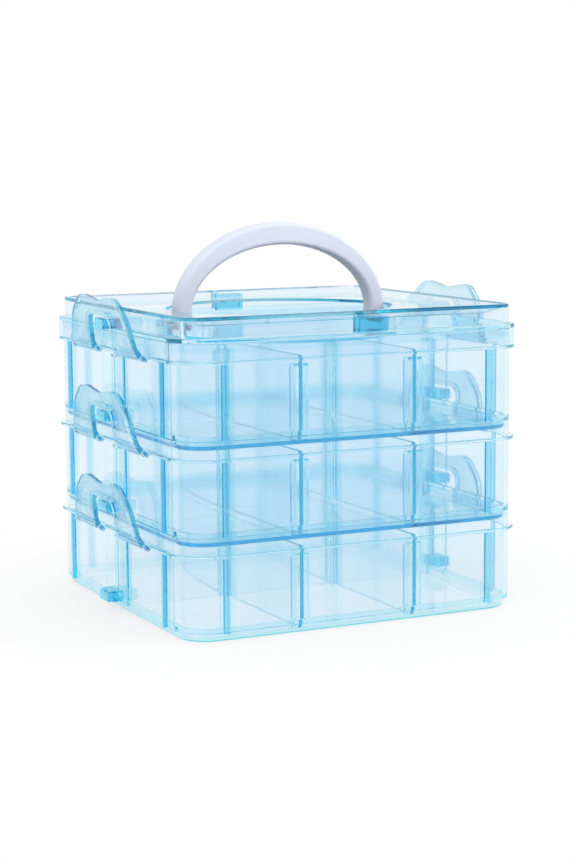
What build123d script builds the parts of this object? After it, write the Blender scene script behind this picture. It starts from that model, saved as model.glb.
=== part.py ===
from build123d import *
from math import atan2, cos, hypot, radians, sin, tan
import os

# A stackable sewing box: three identical trays with loose dividers, a lid with a folding
# carry handle, and a pair of swinging latches on every tray that hold the piece above.
# Millimetres. The origin is the middle of the underside. +X runs along the front, +Y to
# the back and +Z up.

# Outline of the tray flange and of the lid skirt
width = 155.0
depth = 150.0
corner_radius = 16.0

# Tray shell
level_names = ("bottom", "middle", "top")
wall = 1.6
floor_thickness = 1.6
foot_height = 3.8
foot_edge_round = 1.2
flange_top = 34.5
flange_thickness = 1.1
flange_overhang = 2.0
flange_edge_round = 0.4
lip_height = 7.0
lip_edge_round = 0.5
nest_clearance = 0.5
seat_gap = 0.1

# Ribs and side pads on the outside of the tray walls
corner_rib_width = 2.4
corner_rib_depth = 1.6
corner_rib_inset_side = 7.0
corner_rib_inset_front = 2.5
side_pad_width = 24.0
side_pad_depth = 1.0
upright_edge_round = 0.5

# Loose dividers and the ribs that make their slots
divider_thickness = 1.6
divider_headroom = 2.6
divider_clearance = 0.2
divider_corner = 1.5
divider_edge_round = 0.3
divider_pitch = 51.0
slot_rib_width = 2.2
slot_rib_depth = 4.0
slot_rib_drop = 3.4
slot_rib_round = 1.6
middle_rib_depth = 2.2

# Catches that the latches hook over
catch_past_latch = 0.3
catch_length = 10.0
catch_root_length = 12.5
catch_height = 4.3
catch_lead = 0.6
hook_clearance = 1.3
catch_root_sink = 0.8
catch_corner_round = 0.8

# Latches, with heights measured from the hinge axis: a slanted foot, then a plate that leans out a little
latch_lean = 6.5
latch_knee_out = 1.5
latch_knee_height = 3.4
latch_knee_round = 1.6
latch_thickness = 1.4
latch_rim_width = 1.6
latch_rim_height = 1.0
latch_half_foot = 37.7
latch_half_waist = 34.0
latch_waist_height = 4.8
latch_half_shoulder = 29.5
latch_shoulder_height = 15.0
latch_half_hump = 18.5
latch_hump_height = 23.4
latch_dip_height = 20.6
latch_waist_round = 6.0
latch_shoulder_round = 16.0
latch_hump_round = 13.0
latch_dip_round = 12.0
window_half_width = 12.7
window_height = 15.0
window_corner = 5.0
window_rim_width = 1.5
hinge_pin_radius = 0.8
barrel_wall = 0.3
hinge_running_clearance = 0.05
hinge_side_gap = 0.4
hinge_past_flange = 0.8
hinge_end_clearance = 0.3
ear_wall = 0.55
ear_length = 2.0

# Lid
skirt_wall = 1.7
skirt_gap = 0.5
ledge_thickness = 1.7
lid_edge_round = 0.5
raised_inset = 4.2
raised_radius = 7.0
raised_height = 8.1
lid_wall = 1.3
rim_flat = 0.7
bevel_width = 7.7
bevel_drop = 2.7
panel_corner = 3.0
front_block_length = 13.0
front_block_depth = 2.6
front_block_inside = 4.0
front_block_height = 5.6
front_block_round = 0.8
front_post_width = 2.4

# Carry handle, its folding well and its pivots
handle_half_span = 48.6
handle_rise = 37.5
handle_leg = 2.5
handle_bar_top = 9.4
handle_bar_foot = 6.6
handle_width = 8.6
handle_edge_round = 1.8
handle_foot_drop = 4.0
handle_foot_round = 3.0
handle_pin_radius = 2.0
handle_pin_length = 3.4
pivot_running_clearance = 0.05
fold_clearance = 0.4
well_step = 1.0
well_side_clearance = 0.6
boss_half_width = 4.5
boss_end_wall = 1.4
boss_cover = 1.7

# Sizes that follow from those above
body_width = width - 2 * flange_overhang
body_depth = depth - 2 * flange_overhang
body_radius = corner_radius - flange_overhang
inner_width = body_width - 2 * wall
inner_depth = body_depth - 2 * wall
inner_radius = body_radius - wall
foot_width = inner_width - 2 * nest_clearance
foot_depth = inner_depth - 2 * nest_clearance
foot_radius = inner_radius - nest_clearance
foot_inner_width = foot_width - 2 * wall
foot_inner_depth = foot_depth - 2 * wall
foot_inner_radius = foot_radius - wall
shelf_top = foot_height + wall
flange_bottom = flange_top - flange_thickness
lip_top = flange_top + lip_height
tray_pitch = lip_top + seat_gap - foot_height
lid_base = (len(level_names) - 1) * tray_pitch
slot_gap = divider_thickness + 2 * divider_clearance
divider_base = floor_thickness + seat_gap
divider_top = tray_pitch - divider_headroom
slot_rib_top = divider_top - slot_rib_drop
divider_columns = (-divider_pitch / 2, divider_pitch / 2)
barrel_radius = hinge_pin_radius + barrel_wall
ear_radius = hinge_pin_radius + hinge_running_clearance + ear_wall
hinge_x = width / 2 + hinge_past_flange
hinge_z = flange_bottom
hook_out = latch_knee_out + (window_height - latch_knee_height) * tan(radians(latch_lean))
catch_reach = hinge_x + hook_out + latch_thickness / 2 + catch_past_latch
catch_top = hinge_z + window_height - hook_clearance
tray_catch_top = catch_top - tray_pitch
barrel_start = window_half_width
barrel_end = latch_half_foot
ear_centres = (
    barrel_start - hinge_end_clearance - ear_length / 2,
    barrel_end + hinge_end_clearance + ear_length / 2,
)
skirt_bottom = lid_base + flange_top + skirt_gap
ledge_bottom = lid_base + lip_top + seat_gap
ledge_top = ledge_bottom + ledge_thickness
rim_top = ledge_top + raised_height
raised_width = width - 2 * raised_inset
raised_depth = depth - 2 * raised_inset
panel_top = rim_top - bevel_drop
lid_catch_top = lid_base + catch_top
pivot_z = panel_top - handle_width / 2
foot_corner = (handle_width / 2 - handle_edge_round, handle_foot_drop - handle_edge_round)
foot_swing = hypot(*foot_corner) + handle_edge_round
well_floor_top = pivot_z - max(foot_swing, handle_width / 2) - fold_clearance
well_bottom = well_floor_top - lid_wall
well_radius = handle_half_span - well_step
well_half_span = handle_half_span + well_side_clearance
pin_tip = handle_half_span + handle_pin_length
boss_end = pin_tip + well_side_clearance + boss_end_wall
above_everything = handle_leg + handle_rise


def prism(size_x, size_y, radius, bottom, top):
    """An upright block with rounded corners, centred on the Z axis."""
    return Pos(0, 0, bottom) * extrude(RectangleRounded(size_x, size_y, radius), top - bottom)


def block(x_range, y_range, z_range):
    """A plain box between two corners."""
    low, high = zip(x_range, y_range, z_range)
    size = [high[i] - low[i] for i in range(3)]
    return Pos(*low) * Box(*size, align=(Align.MIN, Align.MIN, Align.MIN))


def upright_strip(half_width, depth, bottom, top):
    """A strip on a wall face at x = 0 that stands out toward +X, with rounded outer edges."""
    strip = block((-wall / 2, depth), (-half_width, half_width), (bottom, top))
    return fillet(strip.edges().filter_by(Axis.Z).group_by(Axis.X)[-1], upright_edge_round)


def rod(radius, start, end, turn):
    """A round bar along the local Z axis from start to end, then turned about the origin."""
    bar = Pos(0, 0, start) * Cylinder(radius, end - start, align=(Align.CENTER, Align.CENTER, Align.MIN))
    return turn * bar


ALONG_X = Rot(0, 90, 0)
ALONG_Y = Rot(-90, 0, 0)


def rib_pair(y_range, z_range):
    """Two ribs that run out from a wall face at y = 0, with a divider slot between them."""
    pair = Part()
    for side in (-1, 1):
        middle = side * (slot_gap + slot_rib_width) / 2
        pair += block((middle - slot_rib_width / 2, middle + slot_rib_width / 2), y_range, z_range)
    return pair


def rounded_rib_pair(y_range, z_range):
    """A pair of ribs with rounded upper ends."""
    pair = rib_pair(y_range, z_range)
    tips = pair.edges().filter_by(Axis.X).group_by(Axis.Z)[-1].group_by(Axis.Y)[-1]
    return fillet(tips, slot_rib_round)


def catch(wall_x, top):
    """The catch on the right side: a wedge in plan, with a lead-in along its outer top edge."""
    half_root = catch_root_length / 2
    half_tip = catch_length / 2
    plan = Polygon(
        (wall_x - catch_root_sink, -half_root),
        (catch_reach, -half_tip),
        (catch_reach, half_tip),
        (wall_x - catch_root_sink, half_root),
        align=None,
    )
    solid = Pos(0, 0, top - catch_height) * extrude(plan, catch_height)
    solid = fillet(solid.edges().filter_by(Axis.Z).group_by(Axis.X)[-1], catch_corner_round)
    outer = solid.edges().filter_by(Axis.Y).sort_by(lambda edge: edge.center().X + edge.center().Z)[-1]
    return chamfer(outer, catch_lead)


def hinge_ears():
    """The eyes on the right edge of the flange that carry the latch's pins."""
    ears = Part()
    for side in (-1, 1):
        for centre in ear_centres:
            start = side * centre - ear_length / 2
            end = side * centre + ear_length / 2
            ears += Pos(hinge_x, 0, hinge_z) * rod(ear_radius, start, end, ALONG_Y)
            ears += block((width / 2 - flange_overhang, hinge_x), (start, end), (flange_bottom, flange_top))
    bore = hinge_pin_radius + hinge_running_clearance
    reach = ear_centres[1] + ear_length
    return ears - Pos(hinge_x, 0, hinge_z) * rod(bore, -reach, reach, ALONG_Y)


def hinge_notches():
    """The room that the latch's barrels need in the right edge of the flange."""
    notches = Part()
    reach = barrel_radius + hinge_side_gap
    for side in (-1, 1):
        ends = sorted((side * (barrel_start - hinge_end_clearance), side * (barrel_end + hinge_end_clearance)))
        notches += block((hinge_x - reach, hinge_x + reach), ends, (hinge_z - reach, hinge_z + reach))
    return notches


def make_tray():
    """One tray, standing on z = 0."""
    foot = prism(foot_width, foot_depth, foot_radius, 0, shelf_top)
    foot = fillet(foot.edges().group_by(Axis.Z)[0], foot_edge_round)
    flange = prism(width, depth, corner_radius, flange_bottom, flange_top)
    flange_edges = flange.edges().group_by(Axis.Z)
    flange = fillet(flange_edges[0] + flange_edges[-1], flange_edge_round)
    tray = foot + flange + prism(body_width, body_depth, body_radius, foot_height, lip_top)
    tray -= prism(foot_inner_width, foot_inner_depth, foot_inner_radius, floor_thickness, shelf_top)
    tray -= prism(inner_width, inner_depth, inner_radius, shelf_top, lip_top + lip_height)
    tray = fillet(tray.edges().group_by(Axis.Z)[-1], lip_edge_round)

    # slots for the cross dividers on the front and back walls, and for the long one at the sides
    sink = wall / 2
    foot_setback = wall + nest_clearance
    pair = rounded_rib_pair((-sink, slot_rib_depth), (shelf_top - sink, slot_rib_top))
    pair += rib_pair((foot_setback - sink, slot_rib_depth), (floor_thickness - sink, shelf_top))
    for column in divider_columns:
        tray += Pos(column, -inner_depth / 2, 0) * pair
        tray += Pos(column, inner_depth / 2, 0) * Rot(0, 0, 180) * pair
    tray += Pos(-inner_width / 2, 0, 0) * Rot(0, 0, -90) * pair
    tray += Pos(inner_width / 2, 0, 0) * Rot(0, 0, 90) * pair

    # upright ribs beside each corner
    upright = (foot_height, flange_bottom + flange_thickness / 2)
    rib = upright_strip(corner_rib_width / 2, corner_rib_depth, *upright)
    rib_y = body_depth / 2 - body_radius - corner_rib_inset_side
    rib_x = body_width / 2 - body_radius - corner_rib_inset_front
    for turn in (0, 180):
        for side in (-1, 1):
            tray += Rot(0, 0, turn) * Pos(body_width / 2, side * rib_y, 0) * rib
            tray += Rot(0, 0, turn + 90) * Pos(body_depth / 2, side * rib_x, 0) * rib

    # side pad, catch and hinge eyes, on both sides
    pad = Pos(body_width / 2, 0, 0) * upright_strip(side_pad_width / 2, side_pad_depth, *upright)
    side = pad + catch(body_width / 2 + side_pad_depth, tray_catch_top) + hinge_ears()
    notches = hinge_notches()
    for turn in (Rot(0, 0, 0), Rot(0, 0, 180)):
        tray -= turn * notches
        tray += turn * side
    return tray


def stepped_end(foot_end, wall_end):
    """The end of a divider that meets a tray wall, from its foot up, cut back below the tray's step."""
    step = shelf_top + divider_clearance
    return [(foot_end, divider_base), (foot_end, step), (wall_end, step), (wall_end, divider_top)]


def divider_outline(points):
    """A divider's outline with its upper corners rounded."""
    outline = Polygon(*points, align=None)
    return fillet(outline.vertices().group_by(Axis.Y)[-1], divider_corner)


def make_cross_divider():
    """The plate between the long divider and the back wall, at x = 0."""
    inner_end = divider_thickness / 2 + divider_clearance
    wall_end = stepped_end(foot_inner_depth / 2 - divider_clearance, inner_depth / 2 - divider_clearance)
    outline = divider_outline([(inner_end, divider_base), *wall_end, (inner_end, divider_top)])
    plate = extrude(Plane.YZ * outline, divider_thickness / 2, both=True)
    return fillet(plate.edges(), divider_edge_round)


def make_long_divider():
    """The plate along the middle of a tray, with slots for the cross dividers on both faces."""
    right_end = stepped_end(foot_inner_width / 2 - divider_clearance, inner_width / 2 - divider_clearance)
    left_end = [(-x, z) for x, z in reversed(right_end)]
    outline = divider_outline(right_end + left_end)
    plate = extrude(Plane.XZ * outline, divider_thickness / 2, both=True)
    plate = fillet(plate.edges(), divider_edge_round)
    face = divider_thickness / 2
    pair = rounded_rib_pair((-face / 2, middle_rib_depth), (divider_base, slot_rib_top))
    for column in divider_columns:
        plate += Pos(column, face, 0) * pair
        plate += Pos(column, -face, 0) * Rot(0, 0, 180) * pair
    return plate


def latch_profile(distance):
    """The line of the latch seen from the front, from the hinge up, at a distance outside its middle."""
    foot_turn = atan2(latch_knee_out, latch_knee_height)
    lean = radians(latch_lean)
    mid_turn = (foot_turn + lean) / 2
    mitre = distance / cos((foot_turn - lean) / 2)
    top = 2 * latch_hump_height
    top_out = latch_knee_out + (top - latch_knee_height) * tan(lean) + distance / cos(lean)
    return [
        (distance * cos(foot_turn), -distance * sin(foot_turn)),
        (latch_knee_out + mitre * cos(mid_turn), latch_knee_height - mitre * sin(mid_turn)),
        (top_out, top),
    ]


def latch_sheet(inner, outer):
    """The latch's bent sheet between two distances from its middle, much wider than the latch."""
    outline = Polygon(*latch_profile(inner), *reversed(latch_profile(outer)), align=None)
    knees = outline.vertices().sort_by(Axis.Y)[2:4]
    outline = fillet(knees, latch_knee_round)
    return extrude(Plane.XZ * outline, 2 * latch_half_foot, both=True)


def latch_outline():
    """The bell shape of the latch with its two humps, seen from the side of the box."""
    right_side = [
        (latch_half_hump, latch_hump_height),
        (latch_half_shoulder, latch_shoulder_height),
        (latch_half_waist, latch_waist_height),
        (latch_half_foot, 0),
    ]
    left_side = [(-y, z) for y, z in reversed(right_side)]
    rounds = [latch_waist_round, latch_shoulder_round, latch_hump_round]
    radii = rounds + [latch_dip_round] + rounds[::-1]
    bell = FilletPolyline(*left_side, (0, latch_dip_height), *right_side, radius=radii)
    return make_face(Curve() + [bell, Line(bell @ 1, bell @ 0)])


def through(outline):
    """A side view pushed out to both sides, far enough to cut through the latch."""
    return extrude(Plane.YZ * outline, latch_hump_height, both=True)


def make_latch():
    """The right-hand latch of a tray that stands on z = 0, closed."""
    outline = latch_outline()
    window = Pos(0, window_height / 2 - window_corner) * RectangleRounded(
        2 * window_half_width, window_height + 2 * window_corner, window_corner
    )
    rim = outline - offset(outline, -latch_rim_width) + (outline & offset(window, window_rim_width))
    half = latch_thickness / 2
    latch = latch_sheet(-half, half) & through(outline)
    latch += latch_sheet(0, half + latch_rim_height) & through(rim)
    latch -= through(window)
    for side in (-1, 1):
        ends = sorted((side * barrel_start, side * barrel_end))
        latch += rod(barrel_radius, ends[0], ends[1], ALONG_Y)
        pin_inner = side * (ear_centres[0] - ear_length / 2 + hinge_end_clearance)
        pin_outer = side * (ear_centres[1] + ear_length / 2 - hinge_end_clearance)
        pins = sorted((pin_inner, pin_outer))
        latch += rod(hinge_pin_radius, pins[0], pins[1], ALONG_Y)
    return Pos(hinge_x, 0, hinge_z) * latch


def bevel_frustum(top):
    """The shallow dish between the lid rim and its panel, with its upper outline at the given height."""
    rim_inner_x = raised_width - 2 * rim_flat
    rim_inner_y = raised_depth - 2 * rim_flat
    rim_radius = raised_radius - rim_flat
    upper = Pos(0, 0, top) * RectangleRounded(rim_inner_x, rim_inner_y, rim_radius)
    lower = Pos(0, 0, top - bevel_drop) * RectangleRounded(
        rim_inner_x - 2 * bevel_width, rim_inner_y - 2 * bevel_width, panel_corner
    )
    return loft([lower, upper], ruled=True)


def well_outline(grow):
    """The round well joined with the outline that the handle needs when it is folded to either side."""
    half_span = well_half_span + grow
    outline = Circle(well_radius + grow) + Rectangle(2 * half_span, 2 * handle_leg)
    for side in (-1, 1):
        outline += Pos(0, side * handle_leg) * Ellipse(half_span, handle_rise + well_side_clearance + grow)
    return outline


def make_lid():
    """The lid, in its place on the top tray."""
    skirt = prism(width, depth, corner_radius, skirt_bottom, ledge_top)
    skirt = fillet(skirt.edges().group_by(Axis.Z)[-1], lid_edge_round)
    skirt_inner_radius = corner_radius - skirt_wall
    skirt -= prism(width - 2 * skirt_wall, depth - 2 * skirt_wall, skirt_inner_radius, skirt_bottom, ledge_bottom)
    raised = prism(raised_width, raised_depth, raised_radius, ledge_bottom, rim_top)
    raised = fillet(raised.edges().group_by(Axis.Z)[-1], lid_edge_round)
    hollow = prism(
        raised_width - 2 * lid_wall,
        raised_depth - 2 * lid_wall,
        raised_radius - lid_wall,
        ledge_bottom,
        rim_top - lid_wall,
    )
    lid = skirt + raised - bevel_frustum(rim_top) - (hollow - bevel_frustum(rim_top - lid_wall))

    # the well that the handle folds into, with a bored boss at each end for the handle's pins
    lid += Pos(0, 0, well_bottom) * extrude(well_outline(lid_wall), panel_top - well_bottom)
    boss_top = pivot_z + handle_pin_radius + boss_cover
    for side in (-1, 1):
        ends = sorted((side * well_radius, side * boss_end))
        lid += block(ends, (-boss_half_width, boss_half_width), (well_floor_top, boss_top))
    lid -= Pos(0, 0, well_floor_top) * extrude(well_outline(0), above_everything)
    bore = handle_pin_radius + pivot_running_clearance
    bore_end = pin_tip + well_side_clearance
    lid -= Pos(0, 0, pivot_z) * rod(bore, -bore_end, bore_end, ALONG_X)

    # catches at the sides, and a small block with a taller post at its end on the front and back
    right_catch = catch(raised_width / 2, lid_catch_top)
    lid += right_catch
    lid += Rot(0, 0, 180) * right_catch
    block_bottom = ledge_top - ledge_thickness / 2
    for side in (-1, 1):
        face = side * raised_depth / 2
        reach = sorted((face - side * front_block_inside, face + side * front_block_depth))
        bar = block((0, front_block_length), reach, (block_bottom, ledge_top + front_block_height))
        outer_edges = bar.edges().filter_by(Axis.Z).group_by(Axis.Y)[-1 if side > 0 else 0]
        lid += fillet(outer_edges, front_block_round)
        post_reach = sorted((face - side * lid_wall / 2, face + side * front_block_depth))
        lid += block((0, front_post_width), post_reach, (block_bottom, rim_top - lid_edge_round))
    return lid


def make_handle():
    """The carry handle, upright: an elliptical arch on two short legs with a pin at each foot."""
    outer = Ellipse(handle_half_span, handle_rise)
    inner = Ellipse(handle_half_span - handle_bar_foot, handle_rise - handle_bar_top)
    upper_half = Pos(0, handle_rise / 2) * Rectangle(2 * handle_half_span, handle_rise)
    outline = Pos(0, handle_leg) * ((outer - inner) & upper_half)
    leg_length = handle_leg + handle_foot_drop
    for side in (-1, 1):
        leg_middle = side * (handle_half_span - handle_bar_foot / 2)
        outline += Pos(leg_middle, handle_leg - leg_length / 2) * Rectangle(handle_bar_foot, leg_length)
    outline = fillet(outline.vertices().group_by(Axis.Y)[0], handle_foot_round)
    handle = extrude(Plane.XZ * outline, handle_width / 2, both=True)
    sides = handle.faces().filter_by(Axis.Y).sort_by(Axis.Y)
    handle = fillet(sides[0].edges() + sides[-1].edges(), handle_edge_round)
    for side in (-1, 1):
        ends = sorted((side * (handle_half_span - handle_bar_foot / 2), side * pin_tip))
        handle += rod(handle_pin_radius, ends[0], ends[1], ALONG_X)
    return Pos(0, 0, pivot_z) * handle


def save(shape, name):
    """Writes one node."""
    export_step(shape, os.path.join("parts", name + ".step"))


os.makedirs("parts", exist_ok=True)

tray = make_tray()
long_divider = make_long_divider()
cross_divider = make_cross_divider()
latch = make_latch()
half_turn = Rot(0, 0, 180)

for level, level_name in enumerate(level_names):
    raise_by = Pos(0, 0, level * tray_pitch)
    save(raise_by * tray, level_name + "_tray")
    save(raise_by * long_divider, level_name + "_long_divider")
    for column, column_name in zip(divider_columns, ("left", "right")):
        place = raise_by * Pos(column, 0, 0)
        save(place * cross_divider, f"{level_name}_{column_name}_back_divider")
        save(place * half_turn * cross_divider, f"{level_name}_{column_name}_front_divider")
    save(raise_by * latch, level_name + "_right_latch")
    save(raise_by * half_turn * latch, level_name + "_left_latch")

save(make_lid(), "lid")
save(make_handle(), "carry_handle")
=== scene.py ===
"""Looks of the stacked sewing box: clear blue mouldings, a white handle and a white studio."""
import math

import bpy
from mathutils import Matrix, Vector


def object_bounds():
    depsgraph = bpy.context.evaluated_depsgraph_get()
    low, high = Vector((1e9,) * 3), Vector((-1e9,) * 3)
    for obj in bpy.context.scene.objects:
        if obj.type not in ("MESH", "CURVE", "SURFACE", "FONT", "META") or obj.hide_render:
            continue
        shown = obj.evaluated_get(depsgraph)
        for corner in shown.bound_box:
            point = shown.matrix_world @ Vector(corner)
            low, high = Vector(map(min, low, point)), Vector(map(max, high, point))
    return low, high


# Lengths are in metres, angles in degrees and lamp powers in watts.

# Camera that matches the photograph: where it looks, from how far and from which side
CAMERA_TARGET = Vector((0.0036, 0.0, 0.0699))
CAMERA_DISTANCE = 0.869
CAMERA_YAW = 25.86
CAMERA_PITCH = 7.84
CAMERA_ROLL = -0.40
SENSOR_LONG_SIDE = 36.0
FOCAL_LENGTH_PX = 2018.0
FRAME_LONG_SIDE_PX = 864.0

# Studio
FLOOR_HALF_SIZE = 4.0
FLOOR_COLOR = (0.97, 0.975, 0.98, 1.0)
FLOOR_FADE_START = 0.07
FLOOR_FADE_END = 0.2
FLOOR_WHITE_NEAR = 0.72
WORLD_LIGHT = 0.85
WHITE = (1.0, 1.0, 1.0, 1.0)
KEY_PLACE = (-0.55, -0.75, 0.95)
KEY_SIZE = 0.6
KEY_POWER = 3.0
FILL_PLACE = (0.9, -0.5, 0.5)
FILL_SIZE = 0.6
FILL_POWER = 4.0
LIGHT_PATH_BOUNCES = 64

# Clear plastic
PLASTIC_IOR = 1.49
BOX_SURFACE_TINT = (0.96, 0.962, 0.999, 1.0)
BOX_ABSORPTION_COLOR = (0.2, 0.92, 0.975, 1.0)
BOX_ABSORPTION_DENSITY = 58.0
LATCH_SURFACE_TINT = (0.78, 0.89, 0.952, 1.0)
LATCH_ABSORPTION_COLOR = (0.2, 0.79, 0.9, 1.0)
LATCH_ABSORPTION_DENSITY = 130.0
PLASTIC_ROUGHNESS_LOW = 0.03
PLASTIC_ROUGHNESS_HIGH = 0.09
PLASTIC_NOISE_SCALE = 35.0
PLASTIC_NOISE_DETAIL = 3.0
PLASTIC_BUMP_STRENGTH = 0.05
PLASTIC_BUMP_DISTANCE = 0.0004

# Painted shade: where the moulding is doubled, solid or seen edge-on, darker tints are painted into
# its colour in place of light passing through thick plastic and dark surroundings refracted at
# edges.
# Tints, and boxes in metres. abs_x and abs_y hold for both sides, and level is the height above a
# tray's own underside, with a margin that keeps the underside itself on its level.
TRAY_PITCH = 0.0378
LEVEL_MARGIN = 0.00002
# Painted shade: darker tint on the tray feet where they overlap the tray below, in place of light
# passing through doubled plastic.
FOOT_PAINTED_SHADE = (0.8, 0.92, 0.98, 1.0)
# Painted shade: darker blue on the solid catches, ribs, blocks and posts, in place of light passing
# through thick plastic.
SOLID_PAINTED_SHADE = (0.2, 0.66, 0.88, 1.0)
# Painted shade: dark edge lines along the lid's rim and the well's edge, in place of dark
# surroundings refracted at those edges.
EDGE_PAINTED_SHADE = (0.9, 0.55, 0.64, 1.0)
FOOT_SIDES = {"abs_x": (0.0706, 0.08), "level": (0.0, 0.0054)}
FOOT_FRONT = {"abs_y": (0.0681, 0.08), "level": (0.0, 0.0054)}
TRAY_CATCH = {"abs_x": (0.0738, 0.083), "abs_y": (0.0, 0.0064), "level": (0.0049, 0.0095)}
TRAY_SIDE_RIBS = {"abs_x": (0.0756, 0.0775), "abs_y": (0.0507, 0.0533)}
TRAY_FRONT_RIBS = {"abs_x": (0.0577, 0.0603), "abs_y": (0.0731, 0.0749)}
LID_CATCH = {"abs_x": (0.072, 0.083), "abs_y": (0.0, 0.0064), "z": (0.1182, 0.1229)}
LID_BLOCKS = {"x": (-0.0001, 0.0131), "abs_y": (0.0666, 0.0735), "z": (0.1179, 0.1246)}
LID_POSTS = {"x": (-0.0001, 0.0025), "abs_y": (0.0706, 0.0735), "z": (0.1179, 0.1266)}
LID_RIM_SIDES = {"abs_x": (0.0711, 0.0735), "z": (0.1262, 0.1272)}
LID_RIM_FRONT = {"abs_y": (0.0686, 0.071), "z": (0.1262, 0.1272)}
LID_WELL_EDGE = {"abs_x": (0.0, 0.051), "abs_y": (0.0, 0.06), "z": (0.12305, 0.12425)}

# White plastic
HANDLE_COLOR_LIGHT = (0.74, 0.785, 0.915, 1.0)
HANDLE_COLOR_DEEP = (0.7, 0.745, 0.885, 1.0)
HANDLE_LIGHT_FROM = 0.45
HANDLE_ROUGHNESS_LOW = 0.3
HANDLE_ROUGHNESS_HIGH = 0.45
HANDLE_NOISE_SCALE = 60.0
HANDLE_NOISE_DETAIL = 4.0
HANDLE_BUMP_STRENGTH = 0.06
HANDLE_BUMP_DISTANCE = 0.0003


def add_node(tree, kind, **inputs):
    """A shader node with input values keyed by socket name, with underscores for spaces."""
    node = tree.nodes.new(kind)
    for name, value in inputs.items():
        node.inputs[name.replace("_", " ")].default_value = value
    return node


def new_material(name):
    """An empty node material with its output node."""
    material = bpy.data.materials.new(name)
    material.use_nodes = True
    material.node_tree.nodes.clear()
    output = material.node_tree.nodes.new("ShaderNodeOutputMaterial")
    return material, material.node_tree, output


def noise_range(tree, scale, detail, low, high):
    """A noise in object coordinates, spread between two values, and the noise itself."""
    coords = tree.nodes.new("ShaderNodeTexCoord")
    noise = add_node(tree, "ShaderNodeTexNoise", Scale=scale, Detail=detail)
    spread = tree.nodes.new("ShaderNodeMapRange")
    spread.inputs["To Min"].default_value = low
    spread.inputs["To Max"].default_value = high
    tree.links.new(coords.outputs["Object"], noise.inputs["Vector"])
    tree.links.new(noise.outputs["Fac"], spread.inputs["Value"])
    return spread.outputs["Result"], noise.outputs["Fac"]


def math_node(tree, operation, *values):
    """The result of one math node, whose inputs are numbers or the results of other nodes."""
    node = tree.nodes.new("ShaderNodeMath")
    node.operation = operation
    for socket, value in zip(node.inputs, values):
        if isinstance(value, (int, float)):
            socket.default_value = value
        else:
            tree.links.new(value, socket)
    return node.outputs["Value"]


def inside_boxes(tree, boxes):
    """1 inside any of the boxes, in the object's own coordinates, and 0 elsewhere."""
    coords = tree.nodes.new("ShaderNodeTexCoord")
    split = tree.nodes.new("ShaderNodeSeparateXYZ")
    tree.links.new(coords.outputs["Object"], split.inputs["Vector"])
    x, y, z = (split.outputs[axis] for axis in "XYZ")
    places = {
        "x": x,
        "z": z,
        "abs_x": math_node(tree, "ABSOLUTE", x),
        "abs_y": math_node(tree, "ABSOLUTE", y),
        "level": math_node(tree, "MODULO", math_node(tree, "ADD", z, LEVEL_MARGIN), TRAY_PITCH),
    }
    inside = 0.0
    for box in boxes:
        within = 1.0
        for place, (low, high) in box.items():
            hit = math_node(tree, "COMPARE", places[place], (low + high) / 2, (high - low) / 2)
            within = math_node(tree, "MULTIPLY", within, hit)
        inside = math_node(tree, "MAXIMUM", inside, within)
    return inside


def paint_shade_in_boxes(tree, color, tint, boxes):
    """A color, given as a value or a node's result, with a painted shade tint inside the boxes."""
    mix = tree.nodes.new("ShaderNodeMix")
    mix.data_type = "RGBA"
    below, above = (socket for socket in mix.inputs if socket.type == "RGBA")
    above.default_value = tint
    if isinstance(color, tuple):
        below.default_value = color
    else:
        tree.links.new(color, below)
    tree.links.new(inside_boxes(tree, boxes), mix.inputs["Factor"])
    return next(socket for socket in mix.outputs if socket.type == "RGBA")


def clear_plastic(name, surface_tint, absorption_color, absorption_density, painted_shade_zones=()):
    """Tinted transparent moulding, with painted shade, a darker tint, in the boxes of each (tint,
    boxes) pair.
    """
    material, tree, output = new_material(name)
    shader = add_node(
        tree,
        "ShaderNodeBsdfPrincipled",
        Base_Color=surface_tint,
        IOR=PLASTIC_IOR,
        Transmission_Weight=1.0,
    )
    roughness, flow = noise_range(
        tree,
        PLASTIC_NOISE_SCALE,
        PLASTIC_NOISE_DETAIL,
        PLASTIC_ROUGHNESS_LOW,
        PLASTIC_ROUGHNESS_HIGH,
    )
    bump = add_node(
        tree,
        "ShaderNodeBump",
        Strength=PLASTIC_BUMP_STRENGTH,
        Distance=PLASTIC_BUMP_DISTANCE,
    )
    absorb = add_node(
        tree,
        "ShaderNodeVolumeAbsorption",
        Color=absorption_color,
        Density=absorption_density,
    )
    tree.links.new(roughness, shader.inputs["Roughness"])
    tree.links.new(flow, bump.inputs["Height"])
    tree.links.new(bump.outputs["Normal"], shader.inputs["Normal"])
    tree.links.new(shader.outputs["BSDF"], output.inputs["Surface"])
    tree.links.new(absorb.outputs["Volume"], output.inputs["Volume"])
    color = surface_tint
    # Paints the shade tints into the base colour, box by box.
    for tint, boxes in painted_shade_zones:
        color = paint_shade_in_boxes(tree, color, tint, boxes)
    if painted_shade_zones:
        tree.links.new(color, shader.inputs["Base Color"])
    return material


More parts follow.
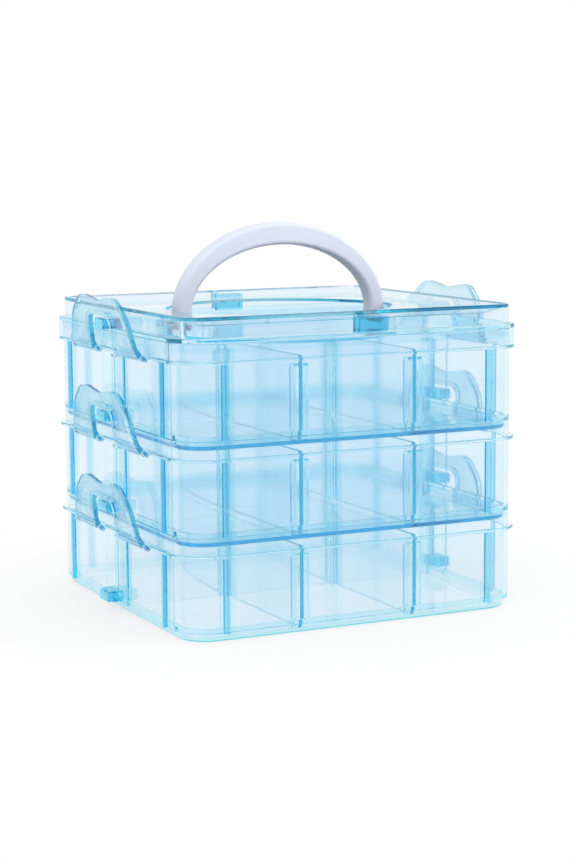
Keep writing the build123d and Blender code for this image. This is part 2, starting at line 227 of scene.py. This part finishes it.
def white_plastic(name):
    """Satin white moulding with a faint unevenness."""
    material, tree, output = new_material(name)
    shader = add_node(tree, "ShaderNodeBsdfPrincipled", IOR=PLASTIC_IOR)
    roughness, flow = noise_range(
        tree,
        HANDLE_NOISE_SCALE,
        HANDLE_NOISE_DETAIL,
        HANDLE_ROUGHNESS_LOW,
        HANDLE_ROUGHNESS_HIGH,
    )
    ramp = tree.nodes.new("ShaderNodeValToRGB")
    ramp.color_ramp.elements[0].color = HANDLE_COLOR_DEEP
    ramp.color_ramp.elements[1].color = HANDLE_COLOR_LIGHT
    ramp.color_ramp.elements[1].position = HANDLE_LIGHT_FROM
    bump = add_node(
        tree,
        "ShaderNodeBump",
        Strength=HANDLE_BUMP_STRENGTH,
        Distance=HANDLE_BUMP_DISTANCE,
    )
    tree.links.new(flow, ramp.inputs["Fac"])
    tree.links.new(ramp.outputs["Color"], shader.inputs["Base Color"])
    tree.links.new(roughness, shader.inputs["Roughness"])
    tree.links.new(flow, bump.inputs["Height"])
    tree.links.new(bump.outputs["Normal"], shader.inputs["Normal"])
    tree.links.new(shader.outputs["BSDF"], output.inputs["Surface"])
    return material


def seen_directly(tree):
    """1 for rays from the camera, off gloss or through clear plastic, and 0 for light on things."""
    path = tree.nodes.new("ShaderNodeLightPath")
    camera, gloss, through = (
        path.outputs[ray] for ray in ("Is Camera Ray", "Is Glossy Ray", "Is Transmission Ray")
    )
    return math_node(tree, "MAXIMUM", math_node(tree, "MAXIMUM", camera, gloss), through)


def make_world():
    """White all round: plain white where it is seen, and a softer even light."""
    world = bpy.data.worlds.new("studio")
    bpy.context.scene.world = world
    world.use_nodes = True
    tree = world.node_tree
    tree.nodes.clear()
    output = tree.nodes.new("ShaderNodeOutputWorld")
    light = add_node(tree, "ShaderNodeBackground", Color=WHITE, Strength=WORLD_LIGHT)
    white = add_node(tree, "ShaderNodeBackground", Color=WHITE, Strength=1.0)
    mix = tree.nodes.new("ShaderNodeMixShader")
    tree.links.new(seen_directly(tree), mix.inputs["Fac"])
    tree.links.new(light.outputs["Background"], mix.inputs[1])
    tree.links.new(white.outputs["Background"], mix.inputs[2])
    tree.links.new(mix.outputs["Shader"], output.inputs["Surface"])


def make_floor():
    """A pale floor that keeps the box's shadow and fades to the white backdrop further out."""
    half = FLOOR_HALF_SIZE
    mesh = bpy.data.meshes.new("floor")
    corners = [(-half, -half, 0), (half, -half, 0), (half, half, 0), (-half, half, 0)]
    mesh.from_pydata(corners, [], [(0, 1, 2, 3)])
    floor = bpy.data.objects.new("floor", mesh)
    bpy.context.scene.collection.objects.link(floor)

    material, tree, output = new_material("floor")
    pale = add_node(tree, "ShaderNodeBsdfDiffuse", Color=FLOOR_COLOR)
    white = add_node(tree, "ShaderNodeEmission", Color=WHITE, Strength=1.0)
    coords = tree.nodes.new("ShaderNodeTexCoord")
    distance = tree.nodes.new("ShaderNodeVectorMath")
    distance.operation = "LENGTH"
    fade = tree.nodes.new("ShaderNodeMapRange")
    fade.inputs["From Min"].default_value = FLOOR_FADE_START
    fade.inputs["From Max"].default_value = FLOOR_FADE_END
    fade.inputs["To Min"].default_value = FLOOR_WHITE_NEAR
    amount = math_node(tree, "MULTIPLY", fade.outputs["Result"], seen_directly(tree))
    mix = tree.nodes.new("ShaderNodeMixShader")
    tree.links.new(coords.outputs["Object"], distance.inputs[0])
    tree.links.new(distance.outputs["Value"], fade.inputs["Value"])
    tree.links.new(amount, mix.inputs["Fac"])
    tree.links.new(pale.outputs["BSDF"], mix.inputs[1])
    tree.links.new(white.outputs["Emission"], mix.inputs[2])
    tree.links.new(mix.outputs["Shader"], output.inputs["Surface"])
    mesh.materials.append(material)


def make_softbox(name, place, size, power, target):
    """A square area lamp that faces a point."""
    data = bpy.data.lights.new(name, "AREA")
    data.size = size
    data.energy = power
    lamp = bpy.data.objects.new(name, data)
    lamp.location = place
    lamp.rotation_euler = (target - Vector(place)).to_track_quat("-Z", "Y").to_euler()
    bpy.context.scene.collection.objects.link(lamp)


def make_camera():
    """The camera, at the photograph's angle and distance."""
    yaw, pitch, roll = (math.radians(angle) for angle in (CAMERA_YAW, CAMERA_PITCH, CAMERA_ROLL))
    level_forward = Vector((math.sin(yaw), math.cos(yaw), 0))
    forward = level_forward * math.cos(pitch) - Vector((0, 0, math.sin(pitch)))
    level_right = Vector((math.cos(yaw), -math.sin(yaw), 0))
    level_up = level_right.cross(forward)
    right = math.cos(roll) * level_right + math.sin(roll) * level_up
    up = math.cos(roll) * level_up - math.sin(roll) * level_right
    data = bpy.data.cameras.new("camera")
    data.sensor_width = SENSOR_LONG_SIDE
    data.lens = SENSOR_LONG_SIDE * FOCAL_LENGTH_PX / FRAME_LONG_SIDE_PX
    camera = bpy.data.objects.new("camera", data)
    axes = Matrix((right, up, -forward)).transposed().to_4x4()
    camera.matrix_world = Matrix.Translation(CAMERA_TARGET - forward * CAMERA_DISTANCE) @ axes
    bpy.context.scene.collection.objects.link(camera)
    bpy.context.scene.camera = camera


def dress(node, material):
    """Gives a carried-over node its finish."""
    mesh = node.data
    mesh.materials.clear()
    mesh.materials.append(material)


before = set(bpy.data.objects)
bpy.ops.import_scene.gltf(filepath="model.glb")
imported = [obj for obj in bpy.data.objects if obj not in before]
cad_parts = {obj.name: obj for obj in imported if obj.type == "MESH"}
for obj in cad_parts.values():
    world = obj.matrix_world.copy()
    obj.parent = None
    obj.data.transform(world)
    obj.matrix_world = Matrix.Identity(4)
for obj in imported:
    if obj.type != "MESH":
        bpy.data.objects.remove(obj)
cad_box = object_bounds()

scene = bpy.context.scene
scene.view_settings.view_transform = "Standard"
scene.cycles.max_bounces = LIGHT_PATH_BOUNCES
scene.cycles.glossy_bounces = LIGHT_PATH_BOUNCES
scene.cycles.transmission_bounces = LIGHT_PATH_BOUNCES
scene.cycles.transparent_max_bounces = LIGHT_PATH_BOUNCES

make_world()
make_floor()
make_camera()
middle = (cad_box[0] + cad_box[1]) / 2
make_softbox("key", KEY_PLACE, KEY_SIZE, KEY_POWER, middle)
make_softbox("fill", FILL_PLACE, FILL_SIZE, FILL_POWER, middle)

box_look = (BOX_SURFACE_TINT, BOX_ABSORPTION_COLOR, BOX_ABSORPTION_DENSITY)
latch_look = (LATCH_SURFACE_TINT, LATCH_ABSORPTION_COLOR, LATCH_ABSORPTION_DENSITY)
# Painted shade on the trays: darker tints on the doubled feet and on the solid catches and ribs.
tray_painted_shade_zones = (
    (FOOT_PAINTED_SHADE, [FOOT_SIDES, FOOT_FRONT]),
    (SOLID_PAINTED_SHADE, [TRAY_CATCH, TRAY_SIDE_RIBS, TRAY_FRONT_RIBS]),
)
# Painted shade on the lid: dark edge lines on the rim and well, and darker tints on the solid
# catches, blocks and posts.
lid_painted_shade_zones = (
    (EDGE_PAINTED_SHADE, [LID_RIM_SIDES, LID_RIM_FRONT, LID_WELL_EDGE]),
    (SOLID_PAINTED_SHADE, [LID_CATCH, LID_BLOCKS, LID_POSTS]),
)
divider_finish = clear_plastic("clear_blue_plastic", *box_look)
tray_plastic_and_painted_shade = clear_plastic("tray_blue_plastic_painted_shade", *box_look, tray_painted_shade_zones)
lid_plastic_and_painted_shade = clear_plastic("lid_blue_plastic_painted_shade", *box_look, lid_painted_shade_zones)
latch_finish = clear_plastic("deep_blue_plastic", *latch_look)
handle_finish = white_plastic("white_plastic")
for name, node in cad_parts.items():
    if name == "carry_handle":
        dress(node, handle_finish)
    elif name.endswith("_latch"):
        dress(node, latch_finish)
    elif name.endswith("_tray"):
        dress(node, tray_plastic_and_painted_shade)
    elif name == "lid":
        dress(node, lid_plastic_and_painted_shade)
    else:
        dress(node, divider_finish)
